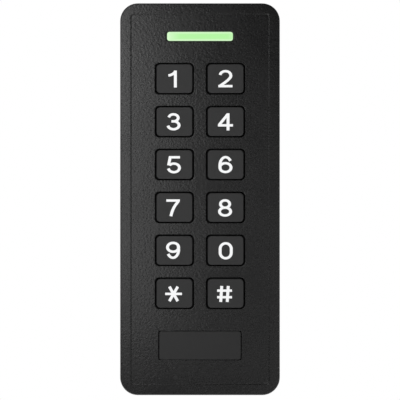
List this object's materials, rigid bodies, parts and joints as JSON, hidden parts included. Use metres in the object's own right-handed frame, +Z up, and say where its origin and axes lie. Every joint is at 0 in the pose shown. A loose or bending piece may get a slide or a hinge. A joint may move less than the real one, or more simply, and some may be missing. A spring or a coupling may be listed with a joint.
{
  "type": "keypad access reader",
  "caption": "Narrow wall-mounted black access reader: two columns of number keys under a lit green status bar, blank badge below, sealed electronics on a screwed mounting plate.",
  "frame": {"origin": "centre of the mounting plate's back face, on the wall plane", "axes": "+X to the viewer's right, +Y into the wall, +Z up; the keys face -Y"},
  "size_m": [0.0508, 0.0228, 0.1244],
  "materials": {
    "housing": "fine-grained satin black moulded plastic",
    "keycap": "satin near-black moulded plastic with polished edges",
    "legend": "white translucent key legend, satin, faintly lit from behind",
    "status_lens": "translucent light guide lit green from behind",
    "badge": "plain black label plate, finely brushed, blank",
    "silicone": "matt silicone rubber",
    "carbon": "conductive carbon rubber",
    "circuit_board": "green solder mask over glass-fibre board",
    "copper_wire": "enamelled copper wire",
    "led_body": "white lamp package",
    "chip": "black moulded package",
    "shield_can": "tinned steel screening can",
    "terminal": "green nylon",
    "inner_plastic": "black moulded plastic, lightly textured",
    "mounting_plastic": "dark grey moulded plastic, lightly textured",
    "screw_steel": "bright stainless steel"
  },
  "bodies": {
    "reader": {"front_housing": "housing", "status_lens": "status_lens", "light_shroud": "inner_plastic", "badge_plate": "badge", "keypad_mat": "silicone", "main_board": "circuit_board", "antenna_coil": "copper_wire", "status_led_1": "led_body", "status_led_2": "led_body", "status_led_3": "led_body", "buzzer": "chip", "processor_chip": "chip", "radio_module": "shield_can", "tamper_sensor": "chip", "terminal_block": "terminal", "terminal_seal": "silicone", "rear_gasket": "silicone", "rear_cover": "inner_plastic", "mounting_plate": "mounting_plastic", "security_screw": "screw_steel", "terminal_screw_1": "screw_steel", "terminal_screw_2": "screw_steel", "terminal_screw_3": "screw_steel", "terminal_screw_4": "screw_steel", "terminal_screw_5": "screw_steel", "terminal_screw_6": "screw_steel", "case_screw_1": "screw_steel", "case_screw_2": "screw_steel", "case_screw_3": "screw_steel", "case_screw_4": "screw_steel"},
    "button_1": {"key_1": "keycap", "contact_pill_1": "carbon"},
    "button_2": {"key_2": "keycap", "contact_pill_2": "carbon"},
    "button_3": {"key_3": "keycap", "contact_pill_3": "carbon"},
    "button_4": {"key_4": "keycap", "contact_pill_4": "carbon"},
    "button_5": {"key_5": "keycap", "contact_pill_5": "carbon"},
    "button_6": {"key_6": "keycap", "contact_pill_6": "carbon"},
    "button_7": {"key_7": "keycap", "contact_pill_7": "carbon"},
    "button_8": {"key_8": "keycap", "contact_pill_8": "carbon"},
    "button_9": {"key_9": "keycap", "contact_pill_9": "carbon"},
    "button_0": {"key_0": "keycap", "contact_pill_0": "carbon"},
    "button_star": {"key_star": "keycap", "contact_pill_star": "carbon"},
    "button_hash": {"key_hash": "keycap", "contact_pill_hash": "carbon"}
  },
  "joints": [
    {"name": "key_1_press", "type": "slide", "parent": "reader", "child": "button_1", "axis": [0, 1, 0], "range_m": [0, 0.001], "stiffness_N_per_m": 1200, "springref_m": -0.0005, "deforming": ["keypad_mat"]},
    {"name": "key_2_press", "type": "slide", "parent": "reader", "child": "button_2", "axis": [0, 1, 0], "range_m": [0, 0.001], "stiffness_N_per_m": 1200, "springref_m": -0.0005, "deforming": ["keypad_mat"]},
    {"name": "key_3_press", "type": "slide", "parent": "reader", "child": "button_3", "axis": [0, 1, 0], "range_m": [0, 0.001], "stiffness_N_per_m": 1200, "springref_m": -0.0005, "deforming": ["keypad_mat"]},
    {"name": "key_4_press", "type": "slide", "parent": "reader", "child": "button_4", "axis": [0, 1, 0], "range_m": [0, 0.001], "stiffness_N_per_m": 1200, "springref_m": -0.0005, "deforming": ["keypad_mat"]},
    {"name": "key_5_press", "type": "slide", "parent": "reader", "child": "button_5", "axis": [0, 1, 0], "range_m": [0, 0.001], "stiffness_N_per_m": 1200, "springref_m": -0.0005, "deforming": ["keypad_mat"]},
    {"name": "key_6_press", "type": "slide", "parent": "reader", "child": "button_6", "axis": [0, 1, 0], "range_m": [0, 0.001], "stiffness_N_per_m": 1200, "springref_m": -0.0005, "deforming": ["keypad_mat"]},
    {"name": "key_7_press", "type": "slide", "parent": "reader", "child": "button_7", "axis": [0, 1, 0], "range_m": [0, 0.001], "stiffness_N_per_m": 1200, "springref_m": -0.0005, "deforming": ["keypad_mat"]},
    {"name": "key_8_press", "type": "slide", "parent": "reader", "child": "button_8", "axis": [0, 1, 0], "range_m": [0, 0.001], "stiffness_N_per_m": 1200, "springref_m": -0.0005, "deforming": ["keypad_mat"]},
    {"name": "key_9_press", "type": "slide", "parent": "reader", "child": "button_9", "axis": [0, 1, 0], "range_m": [0, 0.001], "stiffness_N_per_m": 1200, "springref_m": -0.0005, "deforming": ["keypad_mat"]},
    {"name": "key_0_press", "type": "slide", "parent": "reader", "child": "button_0", "axis": [0, 1, 0], "range_m": [0, 0.001], "stiffness_N_per_m": 1200, "springref_m": -0.0005, "deforming": ["keypad_mat"]},
    {"name": "key_star_press", "type": "slide", "parent": "reader", "child": "button_star", "axis": [0, 1, 0], "range_m": [0, 0.001], "stiffness_N_per_m": 1200, "springref_m": -0.0005, "deforming": ["keypad_mat"]},
    {"name": "key_hash_press", "type": "slide", "parent": "reader", "child": "button_hash", "axis": [0, 1, 0], "range_m": [0, 0.001], "stiffness_N_per_m": 1200, "springref_m": -0.0005, "deforming": ["keypad_mat"]}
  ]
}
